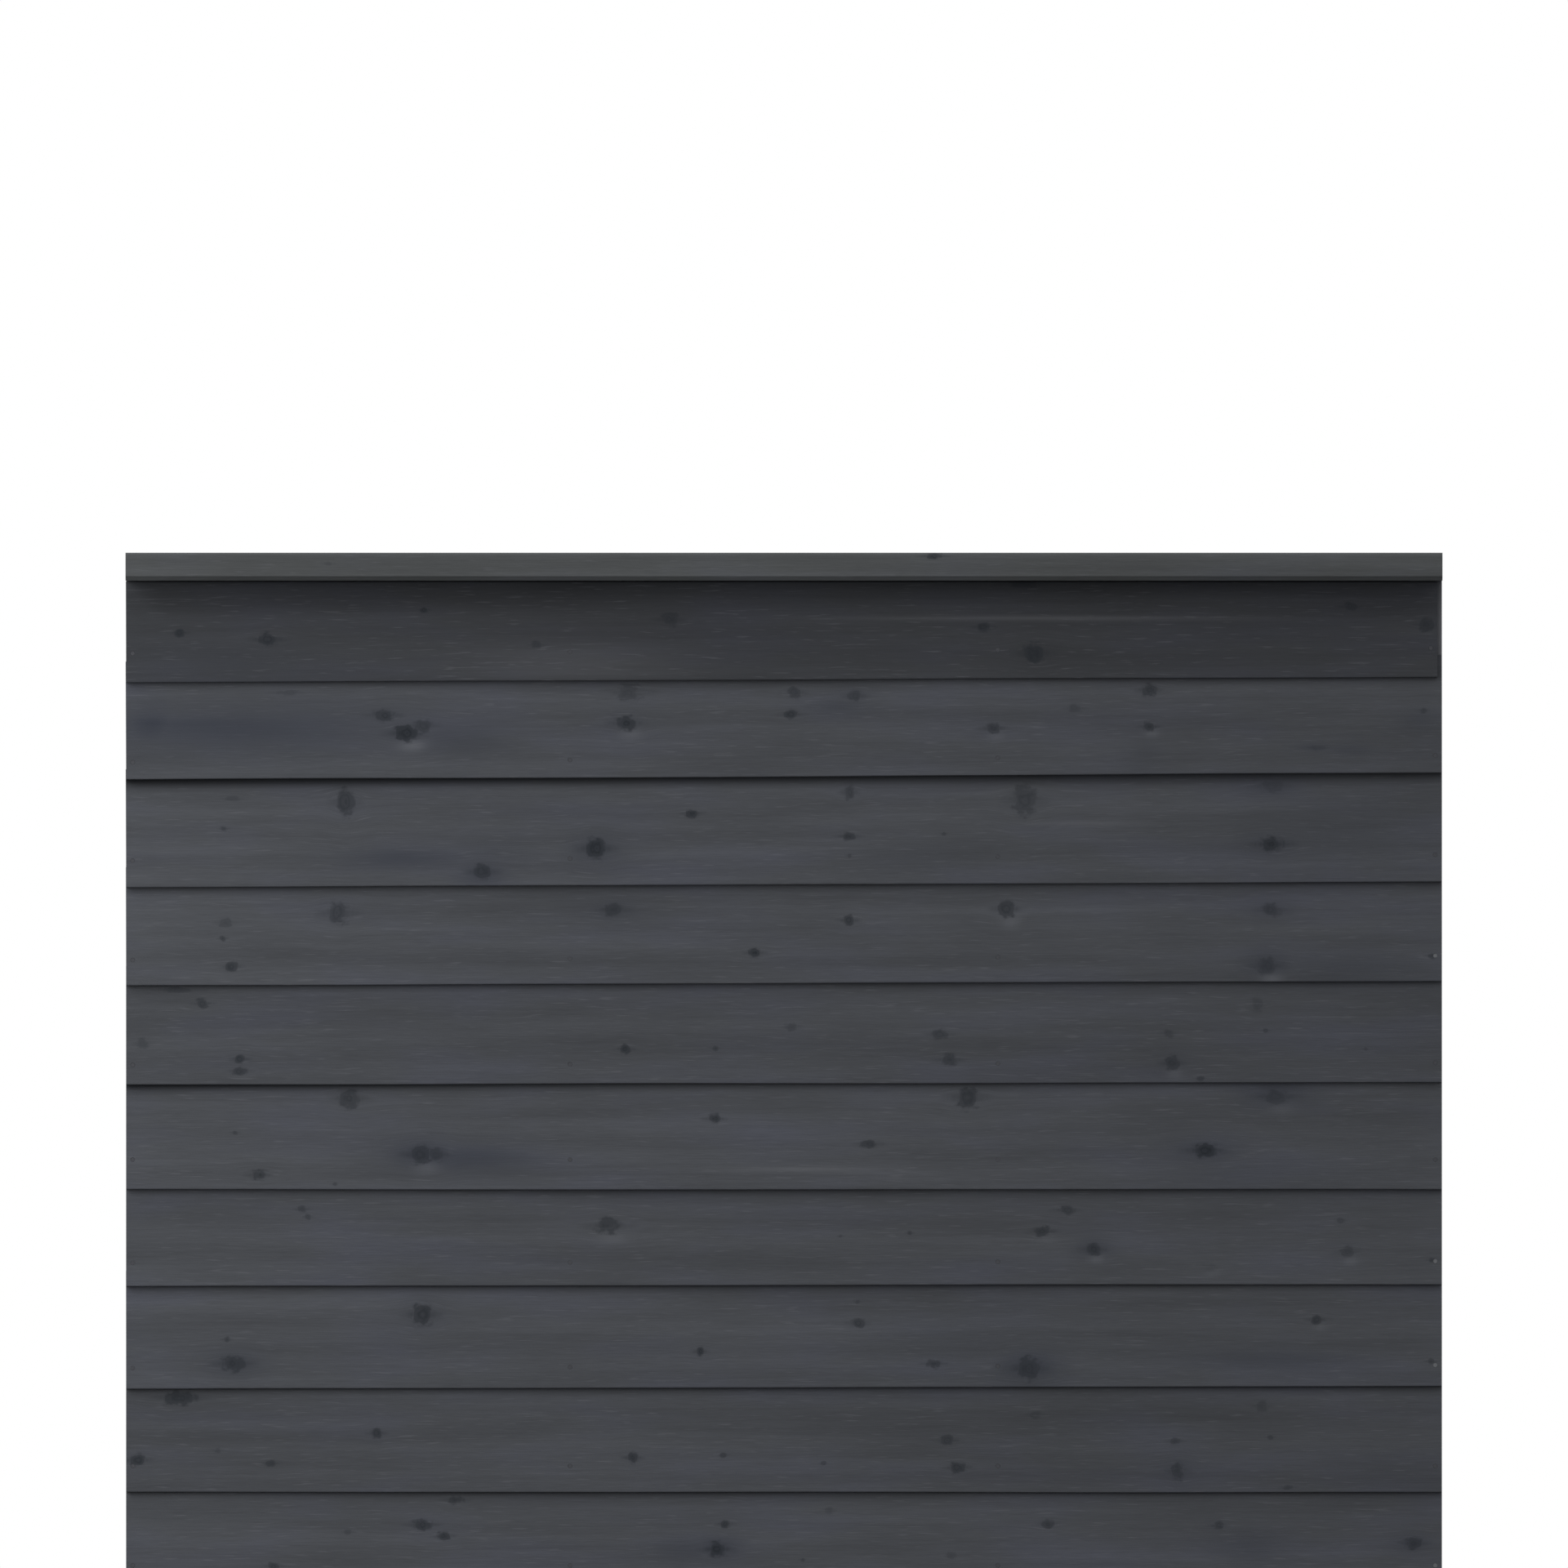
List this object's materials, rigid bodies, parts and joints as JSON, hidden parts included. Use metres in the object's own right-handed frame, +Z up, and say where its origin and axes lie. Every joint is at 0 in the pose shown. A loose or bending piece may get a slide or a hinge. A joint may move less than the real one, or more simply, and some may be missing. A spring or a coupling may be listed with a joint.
{
  "type": "clinker board fence panel",
  "caption": "Square fence panel of lapped feather-edge boards nailed to a softwood frame under an overhanging cap board, stained dark grey, made to be fixed between two posts.",
  "frame": {"origin": "on the ground, under the middle of the cap board", "axes": "+X along the boards to the right, +Y from the boarded front to the framed back, +Z up"},
  "size_m": [1.8005, 0.12, 1.831],
  "materials": {
    "stained_board": "fine sawn, dark grey stain",
    "stained_cap": "planed, dark grey stain",
    "stained_frame": "planed, dark grey stain",
    "galvanised_nail": "galvanised, mostly stained over",
    "zinc_screw": "zinc plated"
  },
  "bodies": {
    "root": {"board_01": "stained_board", "board_02": "stained_board", "board_03": "stained_board", "board_04": "stained_board", "board_05": "stained_board", "board_06": "stained_board", "board_07": "stained_board", "board_08": "stained_board", "board_09": "stained_board", "board_10": "stained_board", "board_11": "stained_board", "board_12": "stained_board", "board_13": "stained_board", "cap_board": "stained_cap", "stile_left": "stained_frame", "stile_right": "stained_frame", "stud_1": "stained_frame", "stud_2": "stained_frame", "top_rail": "stained_frame", "bottom_rail": "stained_frame", "tilting_fillet": "stained_frame", "nails_stile_left": "galvanised_nail", "nails_stud_1": "galvanised_nail", "nails_stud_2": "galvanised_nail", "nails_stile_right": "galvanised_nail", "fillet_nails": "galvanised_nail", "cap_screws": "zinc_screw", "stile_screws": "zinc_screw", "stud_screws": "zinc_screw"}
  },
  "joints": []
}
